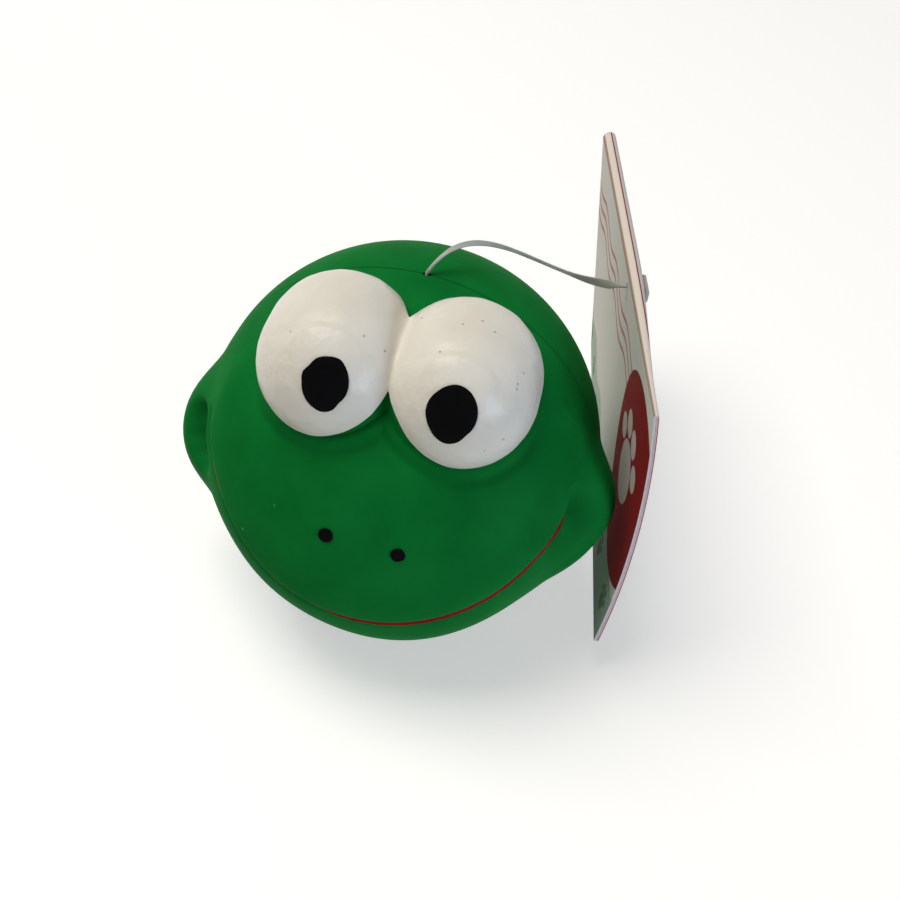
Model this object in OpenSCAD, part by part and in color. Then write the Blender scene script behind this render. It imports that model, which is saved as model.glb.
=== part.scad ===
// Frog-face squeaker ball for dogs, with its swing tag.
// Millimetres. The flat the ball stands on is z = 0, the face looks to -Y.

/* [Ball] */
// Diameter of the round skull
ball_d = 60; // [50:1:72]
// Thickness of the latex skin
skin_wall = 2.2; // [1.8:0.1:2.8]
// Diameter of the flat that the ball stands on
base_flat_d = 22; // [18:1:28]
// Thickness of the skin above the flat
base_wall = 3.6; // [3:0.1:4.4]

/* [Face] */
// Angle that the middle of the face is turned up
face_tilt = 39.6; // [30:0.2:48]
// Angle from the middle of the face to the edge of the upper lip
lip_angle = 57.8; // [50:0.2:64]
// Half the sweep of the mouth around the face
mouth_half = 82; // [60:1:88]
// Swelling of the upper lip over the skull
lip_swell = 1.7; // [0.8:0.1:2.5]
// Swelling of the lower lip over the skull
jaw_swell = 1.1; // [0.4:0.1:2]
// Depth of the crease under the upper lip
crease_depth = 1.5; // [0.6:0.1:1.8]
// Diameter of a cheek lobe
cheek_d = 24; // [18:0.5:28]
// Height of a cheek lobe over the skull
cheek_rise = 3.5; // [2:0.1:4]
// Depth of the dimple in the corner of the mouth
dimple_depth = 2.6; // [1.5:0.1:2.8]
// Distance between the nostrils
nostril_gap = 10.2; // [7:0.2:14]
// Height of the nostrils over the middle of the ball
nostril_rise = 5.4; // [3:0.2:9]

/* [Eyes] */
// Diameter of an eye dome
eye_d = 20.8; // [17:0.2:24]
// How far the two eye domes run into each other
eye_merge = 3.4; // [2:0.1:5]
// Angle of the eye domes up from level
eye_lift = 59.4; // [50:0.2:64]
// Length added to an eye dome from front to back
eye_long = 3.4; // [1:0.1:5]
// Depth of an eye dome's middle under the round of the skull
eye_sink = 1.9; // [1:0.1:4]
// Diameter of the raised disc on an eye dome
iris_d = 12.8; // [10.8:0.2:14]
// Height of the raised disc
iris_step = 0.3; // [0.1:0.05:0.5]
// Angle that the raised disc is turned up
iris_lift = 22; // [10:1:30]
// Width of a pupil
pupil_w = 6.2; // [4:0.2:7]
// Height of a pupil
pupil_h = 7.8; // [5:0.2:8.4]
// Angle that a pupil is turned up
pupil_lift = 18; // [5:1:25]
// Angle that the pupils are turned to the tag's side
pupil_turn = 4; // [-10:1:10]

/* [Paint] */
// Thickness of the white coat on the eyes
white_coat = 0.3; // [0.15:0.05:0.5]
// Height of the white coat's edge over the skull
white_edge = 0.9; // [0.5:0.05:1]
// Thickness of the black dabs
black_coat = 0.2; // [0.1:0.05:0.3]
// Thickness of the red line in the mouth
red_coat = 0.2; // [0.1:0.05:0.4]
// Diameter of a nostril dab
nostril_d = 2.1; // [1.2:0.1:3]

/* [Squeaker] */
// Diameter of the flange under the ball
flange_d = 13; // [11.4:0.2:16]
// Thickness of the flange
flange_t = 1.2; // [0.8:0.1:1.8]
// Diameter of the tube
tube_d = 9.8; // [8.8:0.2:10.6]
// Wall of the tube
tube_wall = 1.2; // [0.8:0.1:1.5]
// Height of the tube's top over the stand
tube_top = 17; // [15.5:0.5:24]
// Width of the barb that holds the tube in the skin
barb_w = 1.0; // [0.6:0.1:1.4]
// Diameter of the air hole
air_hole_d = 2.4; // [1.6:0.1:3.2]
// Width of the reed
reed_w = 4.4; // [3:0.1:5]
// Thickness of the reed
reed_t = 0.12; // [0.08:0.01:0.2]
// Length of the reed over its root
reed_len = 9.2; // [7:0.1:10]
// Diameter of the bead on the reed's root
root_bead_d = 0.7; // [0.6:0.05:0.9]
// Width of the air channel in the reed seat
channel_w = 1.8; // [1:0.1:2.4]
// Diameter of the vents in the cap
vent_d = 1.5; // [1:0.1:1.9]

/* [Tag pin] */
// Diameter of the filament's two round ends
filament_d = 0.9; // [0.6:0.05:1.1]
// Width of the flat of the filament
filament_w = 1.1; // [0.8:0.1:1.6]
// Thickness of the flat of the filament
filament_t = 0.5; // [0.3:0.05:0.7]
// Length of the bar inside the head
bar_len = 9; // [6:0.5:11]
// Diameter of the bar inside the head
bar_d = 1.2; // [0.9:0.1:1.6]
// Length of the paddle outside the tag
paddle_len = 5; // [3:0.2:6]
// Width of the paddle
paddle_w = 2; // [1.2:0.1:2.6]
// Thickness of the paddle
paddle_t = 0.7; // [0.4:0.05:1]
// Distance of the paddle from the leaf beside the head
paddle_slack = 2.8; // [2.8:0.1:5]
// Reach of the filament's arch out of the crown
arch_up = 12.6; // [6:0.2:18]
// Angle that the filament leans to the tag where it leaves the crown
arch_lean = 31; // [0:1:45]
// Reach of the filament's arch in from the tag
arch_in = 13; // [4:0.2:16]

/* [Swing tag] */
// Width of the folded card
tag_w = 79; // [60:1:90]
// Height of the folded card
tag_h = 44.6; // [40:0.2:52]
// Thickness of the card
card_t = 0.4; // [0.25:0.05:0.6]
// Bow of the card at its front edge
card_bow = 1.65; // [0.8:0.05:3]
// Distance that the card's lower back corner stands out
card_flare = 6; // [0:0.2:8]
// Radius of the round fold
fold_r = 1.15; // [1:0.05:1.5]
// Distance between the middles of the two leaves
leaf_gap = 0.8; // [0.75:0.05:2]
// Way down from the fold in which the leaves come together
fold_run = 6; // [3:0.5:12]
// Angle that the tag is turned from the side of the head to the back
tag_turn = 11.4; // [6:0.2:20]
// Angle that the top of the tag leans to the head
tag_lean = 0.8; // [0:0.2:8]
// Distance between the skull and the fold
tag_gap = 2.3; // [2:0.1:5]
// Place of the hole behind the nearest point of the skull
hole_back = 16.3; // [5:0.1:20]
// Place of the hole above the nearest point of the skull
hole_up = 20.5; // [16:0.1:26]
// Distance of the hole under the fold
hole_drop = 2.2; // [2:0.1:6]
// Distance of the hole in front of the middle of the card
hole_side = 4.6; // [0:0.2:8]

/* [Fits] */
// Gap between a coat of paint and what it covers
coat_gap = 0.05; // [0.03:0.01:0.08]
// Gap between pieces that are pushed together
push_gap = 0.06; // [0.04:0.01:0.12]
// Gap between pieces that turn on each other
turn_gap = 0.1; // [0.06:0.01:0.2]
// Gap between pieces that lie apart
free_gap = 0.3; // [0.25:0.05:0.5]

/* [Hidden] */
$fn = 120;
ball_r = ball_d / 2;
eye_r = eye_d / 2;
ball_h = sqrt(ball_r * ball_r - base_flat_d * base_flat_d / 4);
centre = [0, 0, ball_h];
face_axis = [0, -cos(face_tilt), sin(face_tilt)];
face_down = [0, -sin(face_tilt), -cos(face_tilt)];
columns = 96;
upper_steps = 13;
flange_top = free_gap + flange_t;
bore_r = tube_d / 2 - tube_wall;
// The squeaker's smaller sizes: floor over the flange, root over the floor, clamp, barb, cap and air channel.
floor_t = 0.48;
root_rise = 1.2;
clamp_len = 2.6;
barb_h = 1.6;
cap_t = 1.2;
cap_plug = 1.5;
channel_deep = 1.4;
reed_fall = 4;
floor_top = flange_top + floor_t;
root_h = floor_top + root_rise;
clamp_top = root_h + clamp_len;
// The round neck's height over the crown, and the round end's length on the head's side of the tag.
neck_rise = 0.2;
end_reach = 1.2;
// How far pieces of one moulding or one card run into each other.
lap = 0.6;
seam = 0.1;
eye_splay = asin((eye_d - eye_merge) / 2 / (ball_r - eye_sink));
fold_mid = fold_r - card_t / 2;
fold_at = [fold_mid, hole_side, hole_drop];
hole_out = leaf_out(0, hole_drop, false);
paddle_out = hole_out + paddle_slack;
bar_h = sqrt(pow(ball_r - skin_wall, 2) - bar_len * bar_len / 4) - free_gap - bar_d / 2;

// Shape of the face: a radius for each angle b from the middle of the face and each turn a around it.
function ease(t) = let (c = min(max(t, 0), 1)) c * c * (3 - 2 * c);
function hump(x, spread) = exp(-pow(x / spread, 2));
function soft_max(p, q, k) = let (h = max(k - abs(p - q), 0) / k) max(p, q) + h * h * k / 4;
function face_dir(b, a) = cos(b) * face_axis + sin(b) * (cos(a) * face_down + sin(a) * [1, 0, 0]);
function wrap(a) = a > 180 ? a - 360 : a;
function between(u, v) = acos(min(1, max(-1, u * v)));
function snout(a) = 1 - ease((abs(wrap(a)) - mouth_half - 4) / 26);
function mouth(a) = 1 - ease((abs(wrap(a)) - mouth_half + 2) / 9);
function cheek_dir(side) = face_dir(lip_angle + 21, side * (mouth_half - 2));
function dimple_dir(side) = face_dir(lip_angle + 4, side * (mouth_half - 1));
function cheek_reach(turn) = let (d = ball_r + cheek_rise - cheek_d / 2, q = cheek_d * cheek_d / 4
    - pow(d * sin(turn), 2)) q > 0 && turn < 90 ? d * cos(turn) + sqrt(q) : 0;
function lobes(dir, r) = let (t = min(between(dir, cheek_dir(1)), between(dir, cheek_dir(-1))),
    s = min(between(dir, dimple_dir(1)), between(dir, dimple_dir(-1))))
    soft_max(r, cheek_reach(t), 2) - dimple_depth * hump(s, 4.6);
function upper_r(b, a) = lobes(face_dir(b, a), ball_r + lip_swell * hump(b - lip_angle + 1, 24) * snout(a));
function jaw_r(b, a) = lobes(face_dir(b, a), ball_r + jaw_swell * hump(b - lip_angle - 6, 15) * snout(a));
function crease_r(b, a) = min(upper_r(b, a), jaw_r(b, a)) - (crease_depth - lip_swell + jaw_swell) * mouth(a);
// Rows from the middle of the face to the back of the head: angle and kind of surface.
rows = concat([for (i = [1:upper_steps - 1]) [lip_angle * i / upper_steps, 0]],
    [[lip_angle - 2.2, 0], [lip_angle - 0.8, 0], [lip_angle, 0], [lip_angle + 0.35, 1], [lip_angle + 1.7, 1],
    [lip_angle + 2.7, 2], [lip_angle + 4, 2]], [for (d = [6:3:21]) [lip_angle + d, 2]],
    [for (i = [1:20]) [lip_angle + 21 + (159 - lip_angle) * i / 21, 2]]);
function row_r(row, a) = row[1] == 0 ? upper_r(row[0], a) : row[1] == 1 ? crease_r(row[0], a) : jaw_r(row[0], a);
function column(j) = 360 * j / columns;
function skin_at(b, a) = centre + upper_r(b, a) * face_dir(b, a);
function unit(v) = v / norm(v);

function dir_turn(dir) = atan2(dir[0], dir * face_down);
function eye_dir(side) = [side * sin(eye_splay), -cos(eye_splay) * cos(eye_lift), cos(eye_splay) * sin(eye_lift)];
function eye_centre(side) = centre + (ball_r - eye_sink) * eye_dir(side);
function nostril_dir(side) = let (r = ball_r + lip_swell * 0.85, x = nostril_gap / 2)
    [side * x, -sqrt(r * r - x * x - nostril_rise * nostril_rise), nostril_rise] / r;

module face_form() {
    n = len(rows);
    points = concat([centre + upper_r(0, 0) * face_axis],
        [for (row = rows) for (j = [0:columns - 1]) centre + row_r(row, column(j)) * face_dir(row[0], column(j))],
        [centre - ball_r * face_axis]);
    first = [for (j = [0:columns - 1]) [0, 1 + (j + 1) % columns, 1 + j]];
    last = [for (j = [0:columns - 1]) [len(points) - 1, 1 + (n - 1) * columns + j,
        1 + (n - 1) * columns + (j + 1) % columns]];
    sides = [for (i = [0:n - 2]) for (j = [0:columns - 1]) let (k = (j + 1) % columns, p = 1 + i * columns,
        q = p + columns) each [[p + j, p + k, q + k], [p + j, q + k, q + j]]];
    polyhedron(points = points, faces = concat(first, sides, last));
}

// A round-ended dome, a little longer from front to back than it is wide.
module dome(r) {
    rotate([90, 0, 0]) rotate_extrude() intersection() {
        union() {
            for (y = [-1, 1]) translate([0, y * eye_long / 2]) circle(r = r);
            square([2 * r, eye_long], center = true);
        }
        translate([0, -2 * r]) square([2 * r, 4 * r]);
    }
}

// One eye dome with its raised disc, grown by the coats that lie on it.
module eye_form(side, grow) {
    translate(eye_centre(side)) {
        dome(eye_r + grow);
        intersection() {
            dome(eye_r + iris_step + grow);
            rotate([90 - iris_lift, 0, 0]) cylinder(r = iris_d / 2 + grow, h = eye_d);
        }
    }
}

module below(height) {
    translate([-ball_d, -ball_d, height - 2 * ball_d]) cube(2 * ball_d);
}

module head_skin() {
    color([0.04, 0.42, 0.17]) difference() {
        union() {
            face_form();
            eye_form(-1, 0);
            eye_form(1, 0);
        }
        difference() {
            union() {
                translate(centre) sphere(r = ball_r - skin_wall);
                translate(eye_centre(-1)) dome(eye_r - skin_wall);
                translate(eye_centre(1)) dome(eye_r - skin_wall);
            }
            below(base_wall);
        }
        below(0);
        translate([0, 0, -1]) cylinder(d = flange_d + 2 * free_gap, h = 1 + flange_top + push_gap);
        translate([0, 0, -1]) cylinder(d = tube_d + 2 * push_gap, h = base_wall + 2);
        translate(centre + [0, 0, ball_r - skin_wall - 1]) cylinder(d = filament_d + 2 * turn_gap, h = skin_wall + 2);
    }
}

module eye_white_paint() {
    color([0.93, 0.92, 0.88]) difference() {
        union() {
            eye_form(-1, coat_gap + white_coat);
            eye_form(1, coat_gap + white_coat);
        }
        eye_form(-1, coat_gap);
        eye_form(1, coat_gap);
        translate(centre) sphere(r = ball_r + white_edge);
    }
}

module pupil(side) {
    coats = eye_r + iris_step + 2 * coat_gap + white_coat;
    translate(eye_centre(side)) intersection() {
        difference() {
            dome(coats + black_coat);
            dome(coats);
        }
        rotate([90 - pupil_lift, 0, pupil_turn]) linear_extrude(height = eye_d) union() {
            for (y = [-1, 1]) translate([0, y * (pupil_h - pupil_w) / 2]) circle(d = pupil_w);
            square([pupil_w, pupil_h - pupil_w], center = true);
        }
    }
}

module pupil_left_paint() {
    color([0.03, 0.03, 0.03]) pupil(-1);
}

module pupil_right_paint() {
    color([0.03, 0.03, 0.03]) pupil(1);
}

module nostril(side) {
    dir = nostril_dir(side);
    b = between(dir, face_axis);
    a = dir_turn(dir);
    slope = unit(cross(skin_at(b + 1, a) - skin_at(b - 1, a), skin_at(b, a + 1) - skin_at(b, a - 1)));
    translate(skin_at(b, a) + 2 * coat_gap * slope)
        rotate([0, acos(slope[2]), atan2(slope[1], slope[0])]) cylinder(d = nostril_d, h = black_coat);
}

module nostril_left_paint() {
    color([0.03, 0.03, 0.03]) nostril(-1);
}

module nostril_right_paint() {
    color([0.03, 0.03, 0.03]) nostril(1);
}

// A strip along the floor of the crease, on the same columns as the face.
module mouth_line_paint() {
    span = floor((mouth_half - 4) * columns / 360);
    top = lip_angle + 0.5;
    low = lip_angle + 1.55;
    n = 2 * span + 1;
    points = [for (j = [-span:span]) let (a = column(j), r = crease_r(lip_angle + 0.35, a),
        s = crease_r(lip_angle + 1.7, a), g = 2 * coat_gap) each [centre + (r + g) * face_dir(top, a),
        centre + (s + g) * face_dir(low, a), centre + (s + g + red_coat) * face_dir(low, a),
        centre + (r + g + red_coat) * face_dir(top, a)]];
    sides = [for (j = [0:n - 2]) for (k = [0:3]) let (m = (k + 1) % 4, p = 4 * j, q = p + 4)
        each [[p + k, p + m, q + m], [p + k, q + m, q + k]]];
    e = 4 * (n - 1);
    color([0.45, 0.05, 0.06]) polyhedron(points = points, faces = concat([[0, 2, 1], [0, 3, 2]], sides,
        [[e, e + 1, e + 2], [e, e + 2, e + 3]]));
}

module fibre_filling() {
    color([0.92, 0.92, 0.9]) difference() {
        translate(centre) sphere(r = ball_r - skin_wall - free_gap);
        below(base_wall + free_gap);
        cylinder(d = tube_d + 2 * barb_w + 2 * free_gap, h = tube_top + 2);
        translate([0, 0, ball_h + bar_h - bar_d / 2 - free_gap])
            cylinder(d = bar_len + bar_d + 2 * free_gap, h = ball_r);
    }
}

module squeaker_body() {
    neck_top = base_wall + push_gap;
    color([0.88, 0.88, 0.84]) difference() {
        union() {
            translate([0, 0, free_gap]) cylinder(d = flange_d, h = flange_t);
            translate([0, 0, free_gap]) cylinder(d = tube_d, h = tube_top - free_gap);
            translate([0, 0, neck_top]) cylinder(r1 = tube_d / 2 + barb_w, r2 = tube_d / 2, h = barb_h);
        }
        translate([0, 0, floor_top]) cylinder(r = bore_r, h = tube_top);
        cylinder(d = air_hole_d, h = flange_top + 2);
    }
}

module squeaker_cap() {
    color([0.88, 0.88, 0.84]) difference() {
        union() {
            translate([0, 0, tube_top + push_gap]) cylinder(d = tube_d, h = cap_t);
            translate([0, 0, tube_top - cap_plug]) cylinder(r = bore_r - push_gap, h = cap_plug + lap);
        }
        for (k = [0:2]) rotate(120 * k) translate([bore_r - push_gap - vent_d / 2 - 0.5, 0, 0])
            cylinder(d = vent_d, h = tube_top + 2 * cap_t);
    }
}

// The half-round plug that the reed beats on; its face falls back so the reed can swing.
module reed_seat() {
    gap = reed_t / 2 + 2 * turn_gap;
    top = root_h + reed_len + 0.6;
    fall = (top - clamp_top) * tan(reed_fall);
    color([0.85, 0.6, 0.2]) difference() {
        intersection() {
            translate([0, 0, floor_top + push_gap]) cylinder(r = bore_r - push_gap, h = top);
            rotate([90, 0, 90]) translate([0, 0, -bore_r]) linear_extrude(height = 2 * bore_r)
                polygon([[-gap, 0], [-gap, clamp_top], [-gap - fall, top], [-bore_r, top], [-bore_r, 0]]);
        }
        translate([-channel_w / 2, -gap - channel_deep, 0]) cube([channel_w, 2 * channel_deep, top - channel_deep]);
        translate([0, 0, root_h]) rotate([0, 90, 0])
            cylinder(d = root_bead_d + 2 * turn_gap, h = 4 * bore_r, center = true);
    }
}

module reed_wedge() {
    gap = reed_t / 2 + 2 * turn_gap;
    color([0.85, 0.6, 0.2]) difference() {
        intersection() {
            translate([0, 0, floor_top + push_gap]) cylinder(r = bore_r - push_gap, h = clamp_top);
            translate([-bore_r, gap, 0]) cube([2 * bore_r, bore_r, clamp_top]);
        }
        translate([0, 0, root_h]) rotate([0, 90, 0])
            cylinder(d = root_bead_d + 2 * turn_gap, h = 4 * bore_r, center = true);
    }
}

module reed() {
    color([0.75, 0.8, 0.85]) union() {
        translate([-reed_w / 2, -reed_t / 2, root_h]) cube([reed_w, reed_t, reed_len]);
        translate([0, 0, root_h]) rotate([0, 90, 0]) cylinder(d = root_bead_d, h = reed_w, center = true);
    }
}

// The tag's own frame: the hole is at the start, X points away from the head, Z up the card.
module in_tag() {
    translate(centre) rotate([0, 0, tag_turn]) rotate([0, -tag_lean, 0])
        translate([ball_r + tag_gap, hole_back, hole_up]) children();
}
function from_tag(p) = let (x = p[0] + ball_r + tag_gap, y = p[1] + hole_back, z = p[2] + hole_up,
    u = x * cos(tag_lean) - z * sin(tag_lean), w = x * sin(tag_lean) + z * cos(tag_lean))
    centre + [u * cos(tag_turn) - y * sin(tag_turn), u * sin(tag_turn) + y * cos(tag_turn), w];

function level(v) = unit([v[0], v[1], 0]);
function arch(t) = let (p = centre + [0, 0, ball_r + neck_rise], s = from_tag([hole_out - end_reach, 0, 0]),
    q = p + arch_up * (cos(arch_lean) * [0, 0, 1] + sin(arch_lean) * level(s - p)),
    r = from_tag([hole_out - end_reach - arch_in, 0, 0]))
    pow(1 - t, 3) * p + 3 * t * pow(1 - t, 2) * q + 3 * t * t * (1 - t) * r + pow(t, 3) * s;

// The fastener in one moulding: bar, round neck, flat arched filament, round end and paddle.
module tag_pin() {
    n = 36;
    across = cross(level(arch(1) - arch(0)), [0, 0, 1]);
    points = [for (i = [0:n]) let (t = i / n, p = arch(t), f = unit(arch(t + 0.01) - arch(t - 0.01)),
        w = unit(across - (across * f) * f), h = cross(w, f)) for (k = [[1, 1], [-1, 1], [-1, -1], [1, -1]])
        p + w * k[0] * filament_w / 2 + h * k[1] * filament_t / 2];
    sides = [for (i = [0:n - 1]) for (k = [0:3]) let (m = (k + 1) % 4, p = 4 * i, q = p + 4)
        each [[p + k, p + m, q + m], [p + k, q + m, q + k]]];
    color([0.86, 0.88, 0.88]) union() {
        polyhedron(points = points, faces = concat([[0, 2, 1], [0, 3, 2]], sides,
            [[4 * n, 4 * n + 1, 4 * n + 2], [4 * n, 4 * n + 2, 4 * n + 3]]));
        translate(centre + [0, 0, bar_h]) cylinder(d = filament_d, h = ball_r + 2 * neck_rise - bar_h);
        translate(centre + [0, bar_len / 2, bar_h]) rotate([90, 0, 0]) cylinder(d = bar_d, h = bar_len);
        in_tag() {
            translate([hole_out - end_reach - lap, 0, 0]) rotate([0, 90, 0])
                cylinder(d = filament_d, h = end_reach + lap + paddle_slack + paddle_t / 2);
            translate([paddle_out, -paddle_len / 2, -paddle_w / 2]) cube([paddle_t, paddle_len, paddle_w]);
        }
    }
}

// How far a leaf's middle lies out from the fold's inner side: y along the card, s down from the fold.
function leaf_out(y, s, front) = let (k = 0.5 + (y - hole_side) / tag_w, t = s / tag_h)
    4 * t * (1 - t) * card_bow * (1 - k) + card_flare * k * t
    + (front ? leaf_gap + (2 * fold_mid - leaf_gap) * exp(-s / fold_run) : 0);

// A leaf from the fold to its lower edge, starting at s = top: a sheet of card, bowed and a little twisted.
module leaf(front, top) {
    across = 10;
    down = 12;
    row = down + 1;
    layer = row * (across + 1);
    points = [for (side = [-0.5, 0.5]) for (i = [0:across]) for (j = [0:down])
        let (y = hole_side + tag_w * (i / across - 0.5), s = top + (tag_h - top) * j / down)
        [leaf_out(y, s, front) + side * card_t, y, hole_drop - s]];
    rim = concat([for (j = [0:down - 1]) j], [for (i = [0:across - 1]) i * row + down],
        [for (j = [down:-1:1]) across * row + j], [for (i = [across:-1:1]) i * row]);
    faces = [for (i = [0:across - 1]) for (j = [0:down - 1]) let (p = i * row + j, q = p + row)
        each [[p, q + 1, q], [p, p + 1, q + 1], [layer + p, layer + q, layer + q + 1],
        [layer + p, layer + q + 1, layer + p + 1]]];
    edges = [for (i = [0:len(rim) - 1]) let (p = rim[i], q = rim[(i + 1) % len(rim)])
        each [[p, layer + q, q], [p, layer + p, layer + q]]];
    polyhedron(points = points, faces = concat(faces, edges));
}

// The round fold, which stops a little short of the outer leaf so that this can turn about the fold's middle.
module fold_bend() {
    stop = 20;
    translate(fold_at) rotate([90, 0, 0]) rotate([0, 0, stop]) rotate_extrude(angle = 180 - stop)
        translate([fold_r - card_t, seam - tag_w / 2]) square([card_t, tag_w - 2 * seam]);
}

module tag_back_leaf() {
    color([0.9, 0.9, 0.92]) in_tag() difference() {
        union() {
            leaf(false, -seam);
            fold_bend();
        }
        translate([hole_out - 2 * card_t, 0, 0]) rotate([0, 90, 0])
            cylinder(d = filament_d + 2 * free_gap, h = 4 * card_t);
    }
}

module tag_front_leaf() {
    color([0.9, 0.9, 0.92]) in_tag() difference() {
        leaf(true, 0);
        translate([hole_out, 0, 0]) rotate([0, 90, 0]) cylinder(d = filament_d + 4 * free_gap, h = 4 * fold_r);
    }
}

head_skin();
eye_white_paint();
pupil_left_paint();
pupil_right_paint();
nostril_left_paint();
nostril_right_paint();
mouth_line_paint();
fibre_filling();
squeaker_body();
squeaker_cap();
reed_seat();
reed_wedge();
reed();
tag_pin();
tag_back_leaf();
tag_front_leaf();
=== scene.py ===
# A hollow latex dog ball in the shape of a frog's head, with painted eyes and a folded tag on a plastic pin.
import math

import bpy
import numpy as np
from mathutils import Matrix, Vector


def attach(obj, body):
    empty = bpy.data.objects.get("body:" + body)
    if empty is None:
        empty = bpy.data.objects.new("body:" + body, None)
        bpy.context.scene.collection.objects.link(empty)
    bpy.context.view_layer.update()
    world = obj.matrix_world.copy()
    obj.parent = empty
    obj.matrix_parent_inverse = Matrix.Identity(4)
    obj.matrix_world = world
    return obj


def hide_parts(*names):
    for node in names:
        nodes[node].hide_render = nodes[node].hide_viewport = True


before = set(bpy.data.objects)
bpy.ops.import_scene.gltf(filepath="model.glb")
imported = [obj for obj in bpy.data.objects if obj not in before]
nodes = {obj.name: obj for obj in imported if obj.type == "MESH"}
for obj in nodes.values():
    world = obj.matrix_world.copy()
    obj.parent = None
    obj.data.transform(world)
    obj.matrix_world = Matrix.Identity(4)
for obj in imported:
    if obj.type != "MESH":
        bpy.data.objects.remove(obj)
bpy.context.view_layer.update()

# The stage: a plain pale floor under the ball, with soft lights and the camera where the photograph was taken.
# The camera was found from the round of the head: its angles, its distance, and the ball's place in the picture.
mm = 0.001
ball_r = 30 * mm
stand_r = 11 * mm
centre = Vector((0, 0, math.sqrt(ball_r ** 2 - stand_r ** 2)))
camera_turn = math.radians(7.3)
camera_rise = math.radians(39.6)
camera_roll = math.radians(8.3)
camera_away = 220 * mm
picture_px = 900
ball_px = 197
ball_middle_px = (403, 437)


def linear(code):
    """An sRGB hex colour as linear red, green, blue and alpha."""
    parts = [int(code[i:i + 2], 16) / 255 for i in (1, 3, 5)]
    return [c / 12.92 if c <= 0.04045 else ((c + 0.055) / 1.055) ** 2.4 for c in parts] + [1]


def put(node, **inputs):
    """Gives a node's sockets their values, or links them to other nodes' sockets."""
    for key, value in inputs.items():
        socket = node.inputs[int(key[1:])] if key[0] == "_" else node.inputs[key.replace("_", " ")]
        if isinstance(value, bpy.types.NodeSocket):
            node.id_data.links.new(value, socket)
        else:
            socket.default_value = value
    return node


def add(tree, kind, settings=(), **inputs):
    """Adds a node; settings are its own properties, and inputs are for its sockets."""
    node = tree.nodes.new(kind)
    for key, value in dict(settings).items():
        setattr(node, key, value)
    return put(node, **inputs)


def new_material(name):
    """A material with its shader, its node tree and the object's own coordinates."""
    material = bpy.data.materials.new(name)
    material.use_nodes = True
    tree = material.node_tree
    shader = tree.nodes["Principled BSDF"]
    place = tree.nodes.new("ShaderNodeTexCoord").outputs["Object"]
    return material, tree, shader, place


def seen_or_mirrored(tree):
    """1 for what the camera sees, also mirrored or through something clear, and 0 for light on the object."""
    rays = add(tree, "ShaderNodeLightPath")
    both = add(tree, "ShaderNodeMath", {"operation": "ADD"}, _0=rays.outputs["Is Camera Ray"],
               _1=rays.outputs["Is Glossy Ray"])
    return add(tree, "ShaderNodeMath", {"operation": "ADD", "use_clamp": True}, _0=both.outputs[0],
               _1=rays.outputs["Is Transmission Ray"]).outputs[0]


forward = Vector((-math.sin(camera_turn) * math.cos(camera_rise),
                  math.cos(camera_turn) * math.cos(camera_rise), -math.sin(camera_rise)))
level = Vector((math.cos(camera_turn), math.sin(camera_turn), 0))
upward = level.cross(forward)
right = level * math.cos(camera_roll) + upward * math.sin(camera_roll)
top = upward * math.cos(camera_roll) - level * math.sin(camera_roll)
focal_px = ball_px * math.sqrt(camera_away ** 2 - ball_r ** 2) / ball_r
camera = bpy.data.objects.new("camera", bpy.data.cameras.new("camera"))
camera.matrix_world = Matrix.Translation(centre - forward * camera_away) @ Matrix(
    (right, top, -forward)).transposed().to_4x4()
camera.data.sensor_width = 36
camera.data.lens = 36 * focal_px / picture_px
camera.data.shift_x = (picture_px / 2 - ball_middle_px[0]) / picture_px
camera.data.shift_y = -(picture_px / 2 - ball_middle_px[1]) / picture_px
camera.data.clip_start = 10 * mm
bpy.context.scene.collection.objects.link(camera)
bpy.context.scene.camera = camera
bpy.context.scene.view_settings.view_transform = "Standard"

bpy.ops.object.select_all(action="DESELECT")
bpy.ops.mesh.primitive_plane_add(size=4)
floor = bpy.context.object
floor.name = "floor"
paper, tree, shader, place = new_material("matt backdrop paper")
# Painted light: to the camera the paper glows, less near the ball and more farther away, so that the backdrop is
# white and keeps the ball's soft shadow.
far = add(tree, "ShaderNodeVectorMath", {"operation": "LENGTH"}, _0=place)
paler = add(tree, "ShaderNodeMapRange", Value=far.outputs["Value"], From_Min=0.3, From_Max=1.0, To_Min=0.5,
            To_Max=1.0)
glow = add(tree, "ShaderNodeMath", {"operation": "MULTIPLY"}, _0=seen_or_mirrored(tree),
           _1=paler.outputs["Result"])
put(shader, Base_Color=linear("#dededc"), Roughness=0.9, Specular_IOR_Level=0.1, Emission_Color=linear("#ffffff"),
    Emission_Strength=glow.outputs[0])
floor.data.materials.append(paper)


def soft_light(name, spot, size, watts, colour):
    """A square light at a spot in metres, turned to the ball."""
    lamp = bpy.data.lights.new(name, "AREA")
    lamp.size = size
    lamp.energy = watts
    lamp.color = linear(colour)[:3]
    holder = bpy.data.objects.new(name, lamp)
    holder.location = spot
    holder.rotation_euler = (centre - Vector(spot)).to_track_quat("-Z", "Y").to_euler()
    bpy.context.scene.collection.objects.link(holder)


soft_light("window", (0.75, -0.43, 0.1), 0.3, 3.5, "#d5e6ff")
soft_light("ceiling", (-0.36, -0.06, 0.88), 0.6, 6.6, "#fffaf2")
world = bpy.data.worlds.new("room")
world.use_nodes = True
tree = world.node_tree
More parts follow.
